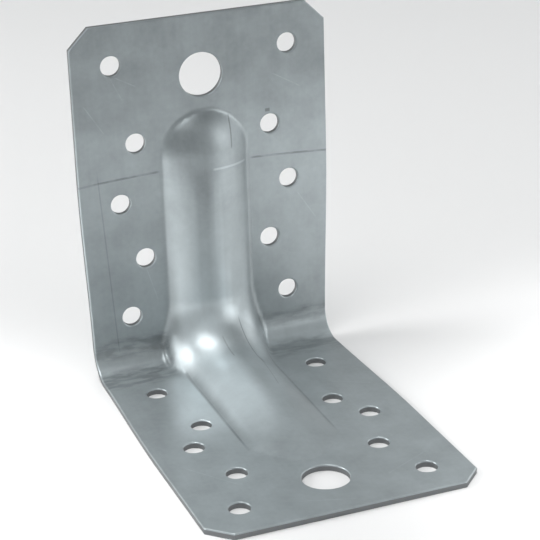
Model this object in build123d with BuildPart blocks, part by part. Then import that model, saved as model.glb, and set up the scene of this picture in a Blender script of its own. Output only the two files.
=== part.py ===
# Reinforced angle bracket: one piece of galvanised steel sheet, punched, folded to a right angle
# and stiffened by a rib pressed through the fold.
#
# Frame: +Z up, X across the width. The foot lies on z = 0 and the back leg stands at the rear.
# The origin is the centre of the footprint. The outer corner of the fold is called the heel here:
# it lies half a foot behind the origin, and places along either leg are measured from it.

from build123d import *
from math import cos, hypot, pi, sqrt
import os

# Sheet, all sizes in mm
width = 65.0
back_height = 90.0
foot_length = 90.0
thickness = 1.5
fold_inner_radius = 6.5
corner_cut = 5.0
edge_roll = 0.35
hole_bevel = 0.25

# The press draws sheet into the rib, so the bracket is waisted at the fold, and the holes near the
# fold move inwards. Each reach is how far along the legs from the heel this goes.
waist = 1.25
waist_reach = 52.0
hole_draw = 1.75
hole_draw_reach = 66.0

# Rib: part of a round bar that is bent through the fold, with a round end on the back leg. On the
# foot it gets lower at its full width, down to rib_last_height, and then sinks into the sheet.
rib_half_width = 11.0
rib_height = 5.0
rib_to_bolt_hole = 3.5
rib_root_radius = 1.5
knee_crest_radius = 12.0
rib_last_height = 1.4
fade_stations = 10

# Holes: each pair's distance from the heel. Pairs lie by turns in an outer and an inner column, and
# a last one near the leg's free end. A pair too near that one is left out on a shorter leg.
nail_radius = 2.5
bolt_radius = 5.5
bolt_from_end = 15.0
outer_column = 22.5
inner_column = 17.5
back_pairs = [15.0, 30.0, 45.0, 60.0]
foot_pairs = [19.0, 39.5, 49.5, 65.0]
last_pair_from_end = 10.0
least_pair_gap = 12.0


def round_over(half_width, height):
    """Radius of the arc that spans a width and stands up to a height."""
    return (half_width**2 + height**2) / (2 * height)


heel = foot_length / 2
rib_top = back_height - bolt_from_end - bolt_radius - rib_to_bolt_hole
rib_foot_end = foot_length - bolt_from_end - bolt_radius - rib_to_bolt_hole
bar_radius = round_over(rib_half_width, rib_height)
backing = 2 * bar_radius + 10.0
spare = 5.0


def hole_pairs(pairs, leg):
    """Distance from the heel and half the spacing of every pair on a leg of that length. The press
    has drawn the pairs near the heel towards the rib."""
    last = leg - last_pair_from_end
    placed = []
    for from_heel in [place for place in pairs if place <= last - least_pair_gap] + [last]:
        column = inner_column if len(placed) % 2 and from_heel < last else outer_column
        share = min(from_heel / hole_draw_reach, 1.0)
        placed.append((from_heel, column - hole_draw * (1 - 3 * share**2 + 2 * share**3)))
    return placed


def fading_height(from_heel, start):
    """Height of the rib on the foot: level at the start, then steeper, then straight down to zero."""
    share = (from_heel - start) / (rib_foot_end - start) * (0.5 + 1 / pi)
    if share < 0.5:
        return rib_height * (1 + cos(pi * share)) / 2
    return rib_height * (0.5 - pi / 2 * (share - 0.5))


def pressed_form(skin_depth, margin):
    """Solid whose skin lies skin_depth under the bracket's visible face, and backing beyond it.
    Its legs are longer than the bracket's by margin."""
    back_skin = heel - thickness + skin_depth
    foot_skin = thickness - skin_depth
    back_axis = heel - thickness - rib_height + bar_radius
    foot_axis = thickness + rib_height - bar_radius
    turn = knee_crest_radius + bar_radius
    knee_y = back_axis - turn
    shoulder = rib_top - rib_half_width
    with BuildPart() as bar:
        with BuildLine(Plane.YZ) as centre_line:
            down = Line((back_axis, shoulder), (back_axis, foot_axis + turn))
            TangentArc(down @ 1, (back_axis - turn, foot_axis), tangent=(0, -1))
        with BuildSketch(Plane(origin=(0, back_axis, shoulder), x_dir=(1, 0, 0), z_dir=(0, 0, -1))):
            Circle(bar_radius - skin_depth)
        sweep(path=centre_line.wire())
        with Locations((0, back_axis, shoulder)):
            Sphere(bar_radius - skin_depth)
        knee_end, fade_end = heel - knee_y, rib_foot_end + rib_half_width
        for station in range(fade_stations + 1):
            from_heel = knee_end + (fade_end - knee_end) * station / fade_stations
            height = fading_height(from_heel, knee_end)
            radius = round_over(rib_half_width, max(height, rib_last_height)) - skin_depth
            crest, side = thickness + height - skin_depth, rib_half_width + 1.0
            side_crest = crest - radius + sqrt(radius**2 - side**2)
            with BuildSketch(Plane(origin=(0, heel - from_heel, 0), x_dir=(1, 0, 0), z_dir=(0, -1, 0))):
                with BuildLine():
                    ThreePointArc((-side, side_crest), (0, crest), (side, side_crest))
                    Polyline((side, side_crest), (side, -backing / 2), (-side, -backing / 2),
                             (-side, side_crest))
                make_face()
        loft()

    with BuildPart() as form:
        with BuildSketch(Plane.YZ):
            with BuildLine():
                skin = FilletPolyline(
                    (-heel - margin, foot_skin), (back_skin, foot_skin),
                    (back_skin, back_height + margin), radius=fold_inner_radius + skin_depth)
                Polyline(skin @ 1, (heel + backing, back_height + margin), (heel + backing, -backing),
                         (-heel - margin, -backing), skin @ 0)
            make_face()
        extrude(amount=width / 2 + spare + margin, both=True)
        add(bar.part)
        fillet(form.edges(Select.NEW), radius=rib_root_radius + skin_depth)
    return form.part


def on_visible_side(edge):
    """Whether an edge lies on the inside of the angle, on a flat or on the fold."""
    point = edge @ 0.5
    centre_y, centre_z = heel - thickness - fold_inner_radius, thickness + fold_inner_radius
    if point.Z > centre_z:
        return abs(point.Y - heel + thickness) < 0.01
    if point.Y < centre_y:
        return abs(point.Z - thickness) < 0.01
    return abs(hypot(point.Y - centre_y, point.Z - centre_z) - fold_inner_radius) < 0.01


def is_hole(edge):
    return edge.geom_type == GeomType.CIRCLE and min(
        abs(edge.radius - nail_radius), abs(edge.radius - bolt_radius)) < 0.01


def in_outline(edge):
    """Whether an edge belongs to the bracket's outline, not to a hole, the rib or the fold."""
    point = edge @ 0.5
    at_side = abs(point.X) > width / 2 - waist - corner_cut / 2 - 0.01
    return at_side or point.Z > back_height - 0.01 or point.Y < -heel + 0.01


with BuildPart() as bracket:
    add(pressed_form(0.0, 0.0))
    add(pressed_form(thickness, spare), mode=Mode.SUBTRACT)

    # Sides, cut along the line that halves the angle so that one sketch trims both legs
    slant = sqrt(0.5)
    with BuildSketch(Plane(origin=(0, heel, 0), x_dir=(1, 0, 0), z_dir=(0, -1, 1))):
        with BuildLine():
            side = width / 2
            top, bottom = (back_height + spare) * slant, -(foot_length + spare) * slant
            reach = waist_reach * slant
            Line((0, top), (side, top))
            Line((side, top), (side, reach))
            Spline((side, reach), (side - waist, 0), (side, -reach), tangents=((0, -1), (0, -1)))
            Line((side, -reach), (side, bottom))
            Line((side, bottom), (0, bottom))
            mirror(about=Plane.YZ)
        make_face()
    extrude(amount=2 * backing, both=True, mode=Mode.INTERSECT)
    chamfer(bracket.edges().filter_by(Axis.Y).group_by(Axis.Z)[-1], length=corner_cut)
    chamfer(bracket.edges().filter_by(Axis.Z).group_by(Axis.Y)[0], length=corner_cut)

    # Holes
    with Locations(Plane(origin=(0, heel, 0), x_dir=(1, 0, 0), z_dir=(0, -1, 0))):
        with Locations((0, back_height - bolt_from_end)):
            Hole(bolt_radius)
        for from_heel, x in hole_pairs(back_pairs, back_height):
            with Locations((-x, from_heel), (x, from_heel)):
                Hole(nail_radius)
    with Locations((0, bolt_from_end - heel)):
        Hole(bolt_radius)
    for from_heel, x in hole_pairs(foot_pairs, foot_length):
        with Locations((-x, heel - from_heel), (x, heel - from_heel)):
            Hole(nail_radius)

    # Punching rounds the outline's edges on the visible side and draws in those of the holes
    visible = [edge for edge in bracket.edges() if on_visible_side(edge)]
    chamfer([edge for edge in visible if is_hole(edge)], length=hole_bevel)
    visible = [edge for edge in bracket.edges() if on_visible_side(edge)]
    fillet([edge for edge in visible if in_outline(edge)], radius=edge_roll)

bracket.part.label = "angle_bracket"
os.makedirs("parts", exist_ok=True)
export_step(bracket.part, "parts/angle_bracket.step")
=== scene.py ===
# %% [markdown]
# # Reinforced angle bracket
#
# One piece of galvanised steel sheet, punched, pressed and folded. The lesson makes the sheet
# the way a press does: a flat pattern with its outline and holes is triangulated first, and
# every point of it is then laid on the pressed form. The form is described by distances, so
# that one short function gives the flats, the fold, the rib and the fillets at the rib's root.
#
# Lengths are in millimetres until the meshes are made. +Z is up, X runs across the width, and
# the back leg stands at +Y.

# %% Load the frame
from math import cos, radians, sin

import bpy
import numpy as np
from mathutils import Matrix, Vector
from mathutils.geometry import delaunay_2d_cdt


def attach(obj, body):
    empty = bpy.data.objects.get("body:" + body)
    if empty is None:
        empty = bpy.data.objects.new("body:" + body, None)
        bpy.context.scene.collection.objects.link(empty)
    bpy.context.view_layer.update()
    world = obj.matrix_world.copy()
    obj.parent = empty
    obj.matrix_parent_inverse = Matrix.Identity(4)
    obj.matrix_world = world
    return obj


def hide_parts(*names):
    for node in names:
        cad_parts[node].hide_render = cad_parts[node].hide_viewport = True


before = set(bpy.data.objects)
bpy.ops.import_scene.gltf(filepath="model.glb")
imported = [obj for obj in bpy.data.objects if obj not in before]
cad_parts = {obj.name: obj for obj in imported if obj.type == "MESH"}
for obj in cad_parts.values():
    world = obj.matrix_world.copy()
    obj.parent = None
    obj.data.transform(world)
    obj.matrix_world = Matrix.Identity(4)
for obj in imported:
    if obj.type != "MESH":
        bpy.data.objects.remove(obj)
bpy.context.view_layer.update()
MM = 0.001

# %% [markdown]
# ## Sizes
#
# These are the sizes of the model. Places along a leg are measured from the heel, the outer
# corner of the fold. Hole pairs are measured from the leg's free end instead, each with half the
# spacing of its two holes.

# %% Sizes
WIDTH, BACK, FOOT, SHEET = 65.0, 90.0, 90.0, 1.5
FOLD_RADIUS = 6.5
CORNER_CUT = 5.0
EDGE_ROLL = 0.35
WAIST, WAIST_REACH = 1.25, 52.0
HOLE_DRAW, HOLE_DRAW_REACH = 1.75, 66.0

RIB_HALF_WIDTH, RIB_HEIGHT, RIB_TOP = 11.0, 5.0, 66.0
RIB_FOOT_END, RIB_LAST_HEIGHT = 66.0, 1.4
RIB_ROOT_RADIUS, KNEE_CREST_RADIUS = 1.5, 12.0

NAIL_RADIUS, BOLT_RADIUS, BOLT_FROM_END = 2.5, 5.5, 15.0
BACK_PAIRS = [(10.0, 22.5), (30.0, 17.5), (45.0, 22.5), (60.0, 17.5), (75.0, 22.5)]
FOOT_PAIRS = [(10.0, 22.5), (25.0, 17.5), (40.5, 22.5), (50.5, 17.5), (71.0, 22.5)]

HEEL = FOOT / 2
BACK_SKIN, FOOT_SKIN = HEEL - SHEET, SHEET
FOLD_Y, FOLD_Z = BACK_SKIN - FOLD_RADIUS, FOOT_SKIN + FOLD_RADIUS

# %% [markdown]
# ## The pressed form
#
# The rib is part of a round bar whose centre line runs down behind the back leg, round the knee
# and along under the foot, where the rib gets lower and sinks into the sheet. `form_distance`
# gives how far a point lies in front of the visible skin: the smaller of its distances to the
# folded sheet and to the bar, with a rolling-ball fillet where the two meet.

# %% Distance to the folded sheet and to the rib's bar
TINY = 1e-9
MOST_COSINE = 0.9999


def round_over(half_width, height):
    """Radius of the arc that spans a width and stands up to a height."""
    return (half_width**2 + height**2) / (2 * height)


BAR_RADIUS = round_over(RIB_HALF_WIDTH, RIB_HEIGHT)
AXIS_Y = BACK_SKIN - RIB_HEIGHT + BAR_RADIUS
AXIS_Z = FOOT_SKIN + RIB_HEIGHT - BAR_RADIUS
KNEE_TURN = KNEE_CREST_RADIUS + BAR_RADIUS
KNEE_Y, KNEE_Z = AXIS_Y - KNEE_TURN, AXIS_Z + KNEE_TURN
SHOULDER = RIB_TOP - RIB_HALF_WIDTH


def fading_height(y):
    """Height of the rib on the foot: level at the knee, then steeper, then straight down."""
    share = (KNEE_Y - y) / (KNEE_Y - HEEL + RIB_FOOT_END) * (0.5 + 1 / np.pi)
    eased = (1 + np.cos(np.pi * share)) / 2
    return RIB_HEIGHT * np.where(share < 0.5, eased, 0.5 - np.pi / 2 * (share - 0.5))


def from_bar(x, y, z):
    """Distance from the rib's bar, and the part of its direction that lies in the YZ plane."""
    dy, dz = y - KNEE_Y, z - KNEE_Z
    turn = np.maximum(np.hypot(dy, dz), TINY)
    height = fading_height(np.minimum(y, KNEE_Y))
    radius = round_over(RIB_HALF_WIDTH, np.maximum(height, RIB_LAST_HEIGHT))
    on_leg, past_knee = z >= KNEE_Z, y < KNEE_Y
    where = [on_leg, ~past_knee]
    by = np.select(where, [y - AXIS_Y, dy * (1 - KNEE_TURN / turn)], 0)
    bz = np.select(where, [np.maximum(z - SHOULDER, 0), dz * (1 - KNEE_TURN / turn)],
                   z - FOOT_SKIN - height + radius)
    radius = np.where(on_leg | ~past_knee, BAR_RADIUS, radius)
    reach = np.sqrt(x**2 + by**2 + bz**2)
    return reach - radius, by / reach, bz / reach


def form_distance(x, y, z):
    """Distance in front of the bracket's visible skin, and less than 0 behind it."""
    # The two flats, joined by the fold
    to_back, to_foot = BACK_SKIN - y, z - FOOT_SKIN
    fold = np.hypot(y - FOLD_Y, z - FOLD_Z)
    in_fold, by_back = (y > FOLD_Y) & (z < FOLD_Z), to_back < to_foot
    sheet = np.where(in_fold, FOLD_RADIUS - fold, np.minimum(to_back, to_foot))
    fold = np.maximum(fold, TINY)
    ny = np.where(in_fold, (FOLD_Y - y) / fold, np.where(by_back, -1, 0))
    nz = np.where(in_fold, (FOLD_Z - z) / fold, np.where(by_back, 0, 1))
    # The bar
    bar, by, bz = from_bar(x, y, z)
    # The fillet: a ball that touches both
    cosine = np.clip(by * ny + bz * nz, -MOST_COSINE, MOST_COSINE)
    u, v = RIB_ROOT_RADIUS - sheet, RIB_ROOT_RADIUS - bar
    touches = (u > 0) & (v > 0) & (u > v * cosine) & (v > u * cosine)
    ball = np.sqrt(np.maximum(u**2 + v**2 - 2 * u * v * cosine, 0) / (1 - cosine**2))
    return np.where(touches, RIB_ROOT_RADIUS - ball, np.minimum(sheet, bar))


# %% [markdown]
# ## From the flat pattern to the form
#
# A point of the flat pattern is (x, s): s is the length of sheet from the back leg's top edge,
# down the leg, round the fold and out along the foot. `lay` finds the visible skin by halving
# steps along a ray from inside the angle, and then goes into the sheet along the skin's normal.

# %% Lay the flat pattern on the form
S_FOLD = BACK - FOLD_Z
S_FOOT = S_FOLD + FOLD_RADIUS * np.pi / 2
S_END = S_FOOT + FOLD_Y + HEEL
HALVINGS = 32
NORMAL_STEP = 0.02


def profile(s):
    """The folded sheet's visible skin at s, without its rib, as (y, z)."""
    turn = np.clip((s - S_FOLD) / FOLD_RADIUS, 0, np.pi / 2)
    y = FOLD_Y + FOLD_RADIUS * np.cos(turn) - np.maximum(s - S_FOOT, 0)
    z = FOLD_Z - FOLD_RADIUS * np.sin(turn) + np.maximum(S_FOLD - s, 0)
    return y, z


def lay(x, s, depth=0.0):
    """Points and outward normals of the visible skin, or of a layer that lies depth under it."""
    y, z = profile(s)
    from_y, from_z = np.minimum(y, KNEE_Y), np.maximum(z, KNEE_Z)
    reach = np.hypot(y - from_y, z - from_z)
    ray_y, ray_z = (y - from_y) / reach, (z - from_z) / reach
    near, far = np.zeros_like(reach), reach + 1.0
    for _ in range(HALVINGS):
        middle = (near + far) / 2
        outside = form_distance(x, from_y + middle * ray_y, from_z + middle * ray_z) > 0
        near, far = np.where(outside, middle, near), np.where(outside, far, middle)
    p = np.stack([x, from_y + far * ray_y, from_z + far * ray_z], axis=-1)
    normal = np.stack([
        form_distance(*(p + NORMAL_STEP * axis).T) - form_distance(*(p - NORMAL_STEP * axis).T)
        for axis in np.eye(3)], axis=-1)
    normal /= np.linalg.norm(normal, axis=-1, keepdims=True)
    return p - depth * normal, normal


# %% [markdown]
# ## Outline and holes
#
# The press draws the sheet towards the rib, so the sides are waisted at the fold, and the holes
# near the fold have moved inwards. Each loop is a list of flat points with a direction that
# points away from the steel.

# %% Loops of the flat pattern
OUTLINE_STEP = 0.6


def drawn_in(from_heel, most, reach):
    """How far the press has moved the sheet inwards: most at the heel, and nothing past reach."""
    share = np.clip(from_heel / reach, 0, 1)
    return most * (1 - 3 * share**2 + 2 * share**3)


def half_width(s):
    """Half the bracket's width at s, without its cut corners."""
    y, z = profile(s)
    return WIDTH / 2 - drawn_in(np.abs(y - HEEL + z), WAIST, WAIST_REACH)


def outline_loop():
    side_count, end_count = int(S_END / OUTLINE_STEP), int(WIDTH / OUTLINE_STEP)
    cut_count = int(CORNER_CUT / OUTLINE_STEP) + 2
    along = np.linspace(CORNER_CUT, S_END - CORNER_CUT, side_count)
    right = np.stack([half_width(along), along], axis=1)
    across = np.linspace(CORNER_CUT - WIDTH / 2, WIDTH / 2 - CORNER_CUT, end_count)
    cut = np.linspace(0, CORNER_CUT, cut_count)[1:-1]
    top = np.stack([across, np.zeros_like(across)], axis=1)
    top_right = np.stack([WIDTH / 2 - CORNER_CUT + cut, cut], axis=1)
    low_right = np.stack([WIDTH / 2 - cut, S_END - CORNER_CUT + cut], axis=1)
    low = np.stack([-across, np.full_like(across, S_END)], axis=1)
    low_left, left, top_left = (part[::-1] * [-1, 1] for part in (low_right, right, top_right))
    points = np.concatenate([top, top_right, right, low_right, low, low_left, left, top_left])
    side = np.roll(points, -1, axis=0) - points
    side = np.stack([side[:, 1], -side[:, 0]], axis=1)
    side /= np.linalg.norm(side, axis=1, keepdims=True)
    away = side + np.roll(side, 1, axis=0)
    away /= (np.linalg.norm(away, axis=1, keepdims=True) ** 2) / 2
    return points, away


def hole_loop(x, s, radius):
    """Loop of a round hole, with more points round a larger one."""
    turn = -np.linspace(0, 2 * np.pi, int(24 + 12 * radius), endpoint=False)
    circle = np.stack([np.cos(turn), np.sin(turn)], axis=1)
    return np.array([x, s]) + radius * circle, -circle


holes = [(0, BOLT_FROM_END, BOLT_RADIUS), (0, S_END - BOLT_FROM_END, BOLT_RADIUS)]
for leg, pairs in ((BACK, BACK_PAIRS), (FOOT, FOOT_PAIRS)):
    for from_end, column in pairs:
        x = column - drawn_in(leg - from_end, HOLE_DRAW, HOLE_DRAW_REACH)
        s = from_end if pairs is BACK_PAIRS else S_END - from_end
        holes += [(-x, s, NAIL_RADIUS), (x, s, NAIL_RADIUS)]
loops = [outline_loop()] + [hole_loop(*hole) for hole in holes]

# %% [markdown]
# ## Triangles between the loops
#
# The visible skin ends where the rolled edge begins, a little inside each loop. A grid of points
# fills the steel between the loops, so that the triangles stay small and even.

# %% Triangulate the flat pattern
GRID = 0.75
INSIDE_ONLY = 1
SAME_POINT = 1e-6
rims = [points - EDGE_ROLL * away for points, away in loops]
grid_x, grid_s = np.meshgrid(np.arange(-WIDTH / 2, WIDTH / 2, GRID), np.arange(0, S_END, GRID))
grid = np.stack([grid_x.ravel(), grid_s.ravel()], axis=1)


def in_steel(p, margin):
    """Whether flat points lie in the steel and at least margin from its edges."""
    s = np.clip(p[:, 1], 0, S_END)
    to_end = np.minimum(p[:, 1], S_END - p[:, 1])
    inside = (np.abs(p[:, 0]) < half_width(s) - margin) & (to_end > margin)
    inside &= np.abs(p[:, 0]) - WIDTH / 2 + CORNER_CUT < to_end - 1.5 * margin
    for x, s, radius in holes:
        inside &= np.hypot(p[:, 0] - x, p[:, 1] - s) > radius + margin
    return inside


grid = grid[in_steel(grid, EDGE_ROLL + 0.5 * GRID)]
starts = np.cumsum([0] + [len(rim) for rim in rims])
edges = [(start + i, start + (i + 1) % len(rim))
         for start, rim in zip(starts, rims) for i in range(len(rim))]
flat = np.concatenate(rims + [grid])
made = delaunay_2d_cdt([Vector(p) for p in flat], edges, [], INSIDE_ONLY, SAME_POINT)
flat, triangles = np.array([tuple(p) for p in made[0]]), np.array(made[2])
old_index = {old: new for new, olds in enumerate(made[3]) for old in olds}
centres = flat[triangles].mean(axis=1)
for x, s, radius in holes:
    beyond = np.hypot(centres[:, 0] - x, centres[:, 1] - s) > radius + EDGE_ROLL
    centres, triangles = centres[beyond], triangles[beyond]

# %% [markdown]
# ## Skins, rolled edges and walls
#
# The hidden skin uses the same triangles, turned over, and reaches out to the full loops. Between
# the two skins every loop gets a quarter-round roll and a straight sheared wall. The first
# material slot is the galvanised steel, and the second is the bare steel of the walls.

# %% Build the mesh
ROLL_STEPS = 4
OUTWARD_STEP = 0.05
STEEL_SLOT, WALL_SLOT = 0, 1
vertices, normals, faces, slots = [], [], [], []


def add_points(points, directions):
    """Keep points with their normals, and give the first one's number."""
    start = sum(len(v) for v in vertices)
    vertices.append(points)
    normals.append(directions)
    return start


def add_skin(points, directions, corners):
    start = add_points(points, directions)
    faces.append(start + corners)
    slots.append(np.full(len(corners), STEEL_SLOT))


def add_band(first, second, count, slot):
    """Quads between two rings of count vertices."""
    i, j = np.arange(count), (np.arange(count) + 1) % count
    faces.append(np.stack([first + j, first + i, second + i, second + j], axis=1))
    slots.append(np.full(count, slot))


points, skin_normals = lay(*flat.T)
add_skin(points, skin_normals, triangles[:, ::-1])

under = flat.copy()
for start, (points, _) in zip(starts, loops):
    under[[old_index[start + i] for i in range(len(points))]] = points
points, under_normals = lay(*under.T, SHEET)
add_skin(points, -under_normals, triangles)

for points, away in loops:
    count = len(points)
    edge, middle = lay(*points.T)
    outward = lay(*(points + OUTWARD_STEP * away).T)[0] - edge
    outward -= (outward * middle).sum(axis=1, keepdims=True) * middle
    outward /= np.linalg.norm(outward, axis=1, keepdims=True)
    previous = None
    for turn in np.linspace(0, np.pi / 2, ROLL_STEPS + 1):
        inset = points - EDGE_ROLL * (1 - np.sin(turn)) * away
        ring, ring_normals = lay(*inset.T, EDGE_ROLL * (1 - np.cos(turn)))
        ring = add_points(ring, np.cos(turn) * ring_normals + np.sin(turn) * outward)
        if previous is not None:
            add_band(ring, previous, count, STEEL_SLOT)
        previous = ring
    wall_top = add_points(lay(*points.T, EDGE_ROLL)[0], outward)
    wall_foot = add_points(lay(*points.T, SHEET)[0], outward)
    add_band(wall_foot, wall_top, count, WALL_SLOT)

vertices, normals = np.concatenate(vertices) * MM, np.concatenate(normals)
mesh = bpy.data.meshes.new("angle_bracket_sheet")
mesh.from_pydata(vertices.tolist(), [], [face for part in faces for face in part.tolist()])
mesh.polygons.foreach_set("material_index", np.concatenate(slots))
mesh.polygons.foreach_set("use_smooth", np.ones(len(mesh.polygons), bool))
mesh.normals_split_custom_set_from_vertices(normals.tolist())
bracket = bpy.data.objects.new("bracket_sheet", mesh)
bpy.context.collection.objects.link(bracket)
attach(bracket, "root")
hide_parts("angle_bracket")

# %% [markdown]
# ## Galvanised steel
#
# Satin zinc: a blue-grey metal with soft mottling, faint rolling streaks and a few scratches. Its
# colour and roughness are built from masks, which are worked out from the place on the bracket.
# These helpers make the nodes. A value that they take is a number or the output of a node.

# %% Helpers for materials
def node(tree, kind, **settings):
    """A new node. Each setting is the value of an input, or else a property of the node."""
    made = tree.nodes.new(kind)
    for key, value in settings.items():
        if key in made.inputs:
            made.inputs[key].default_value = value
        else:
            setattr(made, key, value)
    return made


def new_material(name, **settings):
    """A material with one shader, as (material, node tree, shader)."""
    material = bpy.data.materials.new(name)
    material.use_nodes = True
    tree = material.node_tree
    tree.nodes.clear()
    output = node(tree, "ShaderNodeOutputMaterial")
    shader = node(tree, "ShaderNodeBsdfPrincipled", **settings)
    tree.links.new(shader.outputs[0], output.inputs[0])
    return material, tree, shader


galvanised, steel_tree, steel_shader = new_material("galvanised_steel", Metallic=0.5)
link = steel_tree.links.new


def calc(operation, *values):
    made = steel_tree.nodes.new("ShaderNodeMath")
    made.operation = operation
    for socket, value in zip(made.inputs, values):
        if isinstance(value, bpy.types.NodeSocket):
            link(value, socket)
        else:
            socket.default_value = value
    return made.outputs[0]


def product(*values):
    made = values[0]
    for value in values[1:]:
        made = calc("MULTIPLY", made, value)
    return made


def total(values):
    made = values[0]
    for value in values[1:]:
        made = calc("ADD", made, value)
    return made


def layer(base, mask, amount):
    """The base plus amount times the mask."""
    return calc("MULTIPLY_ADD", mask, amount, base)


def without(mask):
    """1 where the mask is 0, and 0 where it is 1."""
    return calc("SUBTRACT", 1.0, mask)


def step_up(value, low, high):
    """Smooth step from 0 at low to 1 at high."""
    made = node(steel_tree, "ShaderNodeMapRange", interpolation_type="SMOOTHSTEP")
    link(value, made.inputs["Value"])
    made.inputs["From Min"].default_value = low
    made.inputs["From Max"].default_value = high
    return made.outputs["Result"]


def step_down(value, low, high):
    """Smooth step from 1 at low to 0 at high."""
    return without(step_up(value, low, high))


def between(value, low, high, soft):
    """1 between low and high, fading to 0 over soft on both sides."""
    return calc("SUBTRACT", step_up(value, low - soft, low), step_up(value, high, high + soft))


def noise(scale, size, detail=2.0):
    """Noise of a feature size in mm, stretched by scale along x, y and z."""
    mapping = node(steel_tree, "ShaderNodeMapping")
    mapping.inputs["Scale"].default_value = [axis / size for axis in scale]
    link(place, mapping.inputs["Vector"])
    made = node(steel_tree, "ShaderNodeTexNoise", Scale=1.0, Detail=detail)
    link(mapping.outputs[0], made.inputs["Vector"])
    return made.outputs[0]


def stroke(u, v, start, end, half_width):
    """A thin straight mark from start to end in the plane of the coordinates u and v."""
    fade_share, soft_side = 0.12, 0.15
    length = np.hypot(end[0] - start[0], end[1] - start[1])
    along_u, along_v = (end[0] - start[0]) / length, (end[1] - start[1]) / length
    from_u, from_v = calc("SUBTRACT", u, start[0]), calc("SUBTRACT", v, start[1])
    along = layer(calc("MULTIPLY", from_v, along_v), from_u, along_u)
    aside = layer(calc("MULTIPLY", from_v, -along_u), from_u, along_v)
    return product(between(along, 0, length, fade_share * length),
                   between(aside, -half_width, half_width, soft_side))


# %% [markdown]
# ### Places on the bracket
#
# Object coordinates in millimetres tell the legs, the rib, the flat plates beside it and the two
# halves apart. The object's normal tells the side that the punch touched, which faces forwards
# and up, from the hidden side, which has none of the marks.

# %% Masks for places
coordinates = node(steel_tree, "ShaderNodeTexCoord")
in_mm = node(steel_tree, "ShaderNodeVectorMath", operation="SCALE", Scale=1000.0)
link(coordinates.outputs["Object"], in_mm.inputs[0])
place = in_mm.outputs[0]
axes = node(steel_tree, "ShaderNodeSeparateXYZ")
link(place, axes.inputs[0])
x, y, z = axes.outputs
facing = node(steel_tree, "ShaderNodeSeparateXYZ")
link(coordinates.outputs["Normal"], facing.inputs[0])
touched = step_up(calc("SUBTRACT", facing.outputs[2], facing.outputs[1]), -0.05, 0.05)

off_middle = calc("ABSOLUTE", x)
from_heel = calc("MAXIMUM", z, calc("SUBTRACT", HEEL, y))
on_back = step_up(y, BACK_SKIN - RIB_HEIGHT - 1.5, BACK_SKIN - RIB_HEIGHT)
on_foot = without(on_back)
on_plate = step_up(off_middle, 11.5, 13.0)
on_rib = step_down(off_middle, 8.5, 11.0)
raised = step_up(calc("SUBTRACT", BACK_SKIN, y), 0.1, 1.5)
left_half = step_down(x, -2.0, 6.0)
right_half = without(left_half)

# %% [markdown]
# ### Zinc, scratches and the press's marks
#
# The zinc has soft mottling, fine grain and streaks along the rolling direction. The press has
# left smudged bands beside the fold and a line across the back leg; creases get painted shade.

# %% Masks for marks
mottle = noise((1, 1, 1), 7.0, 3.0)
grain = noise((1, 1, 1), 1.1)
streaks = noise((1, 0.03, 0.03), 0.9)
smears = step_up(noise((0.3, 1, 1), 1.8, 5.0), 0.36, 0.60)
worn = layer(0.4, step_up(noise((0.3, 1, 1), 1.4), 0.4, 0.6), 0.6)

bands = calc("ADD", product(between(from_heel, 5.5, 8.5, 2.5), on_back),
             product(between(from_heel, 5.0, 11.0, 4.0), calc("SUBTRACT", 0.6, on_back)))
bands = product(calc("MAXIMUM", bands, 0.0), smears, on_plate, touched)

# The line across the back leg is dark on the plates and light on the rib's right half
press_z = layer(z, product(x, x), 0.0012)
press_line = product(between(press_z, 51.98, 52.30, 0.2), on_back, touched)
dark_line = product(press_line, on_plate, worn)
light_line = product(press_line, between(x, 1.0, 9.5, 1.0))

# Scratches: start, end and half the width, in (x, z) on the back leg and in (x, y) on the foot
BACK_SCRATCHES = [
    ((-24.0, 79.5), (-20.5, 72.0), 0.05), ((-29.5, 70.5), (-25.5, 64.0), 0.05),
    ((-21.5, 77.0), (-17.0, 74.5), 0.04), ((19.0, 72.5), (25.0, 69.0), 0.05),
    ((24.5, 40.5), (29.0, 33.5), 0.04), ((-16.5, 27.0), (-14.2, 19.0), 0.04),
]
FOOT_SCRATCHES = [
    ((-27.0, -14.0), (-19.5, -24.5), 0.05), ((14.0, -34.0), (24.0, -29.0), 0.05),
    ((20.5, 14.0), (28.5, 9.5), 0.04), ((-9.0, -38.0), (1.5, -41.5), 0.04),
]
scratches = [stroke(x, z, *scratch) for scratch in BACK_SCRATCHES]
scratches += [stroke(x, y, *scratch) for scratch in FOOT_SCRATCHES]
light = product(total(scratches), touched, worn)

above_foot = step_up(z, 2.8, 3.4)
# Real marks, and painted shade in creases; all of them darken the colour and dent the bump
marks_and_crease_shade = [
    dark_line,
    # A mark on the rib's round end, a line down the left plate, and a speck above a hole
    product(stroke(x, z, (6.4, 63.6), (5.8, 57.0), 0.12), on_back),
    product(stroke(x, z, (-27.4, 50.0), (-25.1, 9.0), 0.08), on_back, 0.5),
    product(between(x, 16.4, 17.3, 0.3), between(z, 63.4, 63.9, 0.3), on_back),
    # Painted shade in creases on the rib at the knee, also dented by the bump
    product(stroke(x, y, (5.2, 37.0), (6.8, 25.5), 0.08), above_foot),
    product(stroke(x, y, (6.8, 26.5), (5.6, 13.0), 0.08), above_foot, 0.6),
    product(stroke(x, y, (-0.5, 34.0), (0.1, 28.4), 0.10), step_up(z, 5.0, 6.0)),
    # Painted shade along the creases at the rib's root, also dented by the bump
    product(between(off_middle, 11.1, 11.35, 0.3), between(y, -4.0, 29.0, 9.0), on_foot, 0.7),
    product(between(x, 11.2, 11.5, 0.3), between(z, 24.0, 52.0, 6.0), on_back, 0.5),
]
dark = product(total(marks_and_crease_shade), touched)
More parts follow.
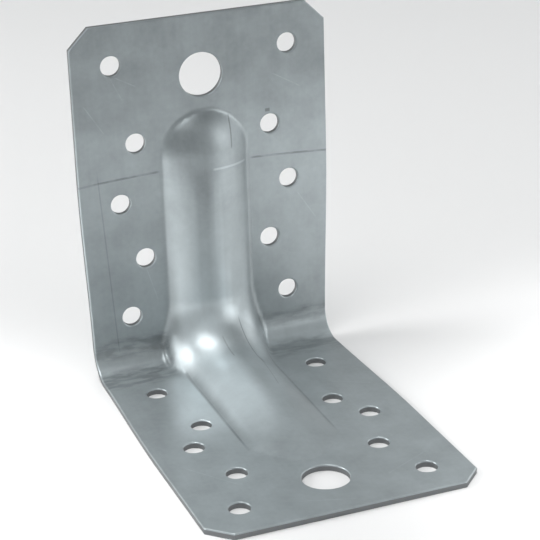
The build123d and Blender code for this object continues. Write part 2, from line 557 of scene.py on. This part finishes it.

# %% [markdown]
# ### Painted highlights and shade
#
# Painted highlights lighten the rib, most of all round the knee and on its left half, and painted
# shade darkens the back leg towards its free edge. The rib's round end is rougher. These zones
# stand in for what the real bracket mirrored.

# %% Masks for zones
foot_left = step_down(x, -2.5, 3.0)
# Painted highlight on the rib, on the foot and low on the back leg, stronger on its left half
painted_rib_highlight_foot = product(on_foot, between(from_heel, 14.0, 37.0, 22.0), layer(0.10, foot_left, 0.92))
painted_rib_highlight_back = product(on_back, between(from_heel, 9.0, 16.0, 30.0), layer(0.42, left_half, 0.30))
painted_rib_highlight = product(calc("ADD", painted_rib_highlight_foot, painted_rib_highlight_back), on_rib)
# Painted shade: darker towards the back leg's top edge
painted_shade_top = step_up(z, 52.0, 76.0)

# The rib's rougher round end, painted shade that slants down from it, and painted strips of
# highlight and shade along the crest
dome = product(on_rib, step_up(z, 47.0, 62.0), raised, touched)
shadow = product(on_rib, raised, step_up(calc("ADD", x, z), 37.0, 48.0), touched,
                 step_down(x, -1.0, 3.5))
# Painted highlight and shade in strips along the crest, and a painted highlight low on its right
painted_crest_strips = calc("SUBTRACT", between(x, 0.6, 1.8, 1.0), between(x, -3.6, -1.6, 1.4))
painted_crest_strips = product(painted_crest_strips, between(z, 20.0, 44.0, 10.0), on_back, touched)
painted_crest_highlight_low = product(between(x, 1.6, 3.4, 1.4), between(z, 13.0, 24.0, 7.0), on_back, touched)

# Painted reflection beside the rib on the foot's left, painted shade farther left, and a painted
# highlight on the fold's right
slanting = layer(x, y, -0.25)
beside_rib = calc("SUBTRACT", step_up(slanting, -26.5, -21.5), step_up(x, -12.0, -10.5))
painted_reflection = product(beside_rib, between(y, 9.0, 27.0, 15.0), on_foot, touched)
# Painted shade on the foot, farther left than the reflection
painted_shade_far_left = product(step_down(slanting, -29.0, -24.0), between(y, -10.0, 22.0, 12.0),
                   on_foot, touched)
# Painted highlight along the middle of the fold's right half
painted_fold_highlight = product(between(from_heel, 2.6, 4.8, 2.4), right_half, on_plate, touched)

# %% [markdown]
# ### Colour and roughness
#
# One tint is scaled by the sum of the masks. The roughness stays above 0.28, because hard-edged
# patches showed in the picture where it crossed about 0.27.

# %% Materials
ZINC_TINT = (0.346, 0.386, 0.400)
SHEARED_COLOR = (0.2, 0.21, 0.215, 1)
DENT_DEPTH = -1.2

# Painted highlights, reflection and shade are summed here with the real mottle, streaks, grain,
# scratches, bands and marks
shade = layer(0.74, mottle, 0.40)
for mask, amount in [
        (calc("SUBTRACT", streaks, 0.5), 0.06), (painted_rib_highlight, 0.66), (painted_shade_top, -0.21),
        (shadow, -0.17), (painted_reflection, 0.55), (painted_shade_far_left, -0.11), (painted_crest_highlight_low, 0.16), (painted_crest_strips, 0.12),
        (calc("SUBTRACT", grain, 0.5), 0.12), (light, 0.13), (painted_fold_highlight, 0.22),
        (bands, layer(-0.50, right_half, 0.15)), (dark, -0.34), (light_line, 0.30)]:
    shade = layer(shade, mask, amount)
tint = node(steel_tree, "ShaderNodeVectorMath", operation="SCALE")
tint.inputs[0].default_value = ZINC_TINT
link(shade, tint.inputs["Scale"])
link(tint.outputs[0], steel_shader.inputs["Base Color"])

roughness = layer(0.29, mottle, 0.08)
roughness = layer(roughness, bands, 0.12)
roughness = layer(roughness, dome, 0.08)
link(roughness, steel_shader.inputs["Roughness"])

bump = node(steel_tree, "ShaderNodeBump", Strength=0.2, Distance=0.00006)
link(calc("MULTIPLY", dark, DENT_DEPTH), bump.inputs["Height"])
link(bump.outputs[0], steel_shader.inputs["Normal"])

sheared, _, sheared_shader = new_material("sheared_edge", Metallic=0.9, Roughness=0.5)
sheared_shader.inputs["Base Color"].default_value = SHEARED_COLOR
bracket.data.materials.append(galvanised)
bracket.data.materials.append(sheared)

# %% [markdown]
# ## Stage
#
# A pale floor, a dim studio all round, soft boxes that face the bracket, and two pools of light
# on the floor beside it, for the steel to mirror.

# %% Floor, world and lights
FLOOR_SIZE, FLOOR_COLOR = 4.0, (0.74, 0.74, 0.74, 1)
WORLD_COLOR, WORLD_STRENGTH = (0.96, 0.99, 1.0, 1), 0.36
LIT_POINT, BOX_DISTANCE = Vector((0, 0.02, 0.03)), 1.0
POOL_HEIGHT, POOL_ANGLE, POOL_SOFTNESS = 1.2, radians(11.5), 0.05

bpy.ops.mesh.primitive_plane_add(size=FLOOR_SIZE)
floor = bpy.context.object
floor.name = "floor"
paper, _, paper_shader = new_material("paper", Roughness=0.9)
paper_shader.inputs["Base Color"].default_value = FLOOR_COLOR
floor.data.materials.append(paper)

world = bpy.data.worlds.new("studio")
bpy.context.scene.world = world
world.use_nodes = True
background = world.node_tree.nodes["Background"]
background.inputs[0].default_value = WORLD_COLOR
background.inputs[1].default_value = WORLD_STRENGTH


def add_lamp(name, light, location):
    lamp = bpy.data.objects.new(name, light)
    lamp.location = location
    bpy.context.collection.objects.link(lamp)
    return lamp


def softbox(name, azimuth, elevation, width, height, radiance):
    """Area light that faces the bracket. Azimuth 0 is in front of it and 90 on its right."""
    azimuth, elevation = radians(azimuth), radians(elevation)
    towards = Vector((sin(azimuth) * cos(elevation), -cos(azimuth) * cos(elevation),
                      sin(elevation)))
    light = bpy.data.lights.new(name, "AREA")
    light.shape, light.size, light.size_y = "RECTANGLE", width, height
    light.energy = radiance * np.pi * width * height
    lamp = add_lamp(name, light, LIT_POINT + BOX_DISTANCE * towards)
    lamp.rotation_euler = towards.to_track_quat("Z", "Y").to_euler()


def pool(name, x, y, power):
    """Spot straight above the floor that lightens it beside the bracket."""
    light = bpy.data.lights.new(name, "SPOT")
    light.energy, light.spot_size, light.spot_blend = power, POOL_ANGLE, 1.0
    light.shadow_soft_size = POOL_SOFTNESS
    add_lamp(name, light, (x, y, POOL_HEIGHT))


softbox("key", -108, 22, 0.45, 0.62, 9.4)
softbox("overhead", -56, 66, 0.44, 0.60, 4.3)
softbox("right_front", 48, 16, 0.60, 0.55, 2.6)
softbox("right", 98, 16, 0.80, 0.55, 1.8)
softbox("back_high", 168, 72, 0.50, 0.40, 2.0)
pool("floor_left", -0.145, -0.005, 130)
pool("floor_right", 0.132, -0.07, 95)

# %% [markdown]
# ## Camera
#
# The camera stands where the photo was taken from. Its place and turn were fitted to the centres
# of the holes and to the outline.

# %% Camera
CAMERA_PLACE = (-0.143014, -0.375386, 0.207118)
CAMERA_TURN = (67.4233, 1.7241, -21.5261)

lens = bpy.data.cameras.new("camera")
lens.lens, lens.sensor_width = 126.706, 36.0
camera = bpy.data.objects.new("camera", lens)
camera.location = CAMERA_PLACE
camera.rotation_euler = [radians(angle) for angle in CAMERA_TURN]
bpy.context.collection.objects.link(camera)
bpy.context.scene.camera = camera
bpy.context.scene.view_settings.view_transform = "Standard"
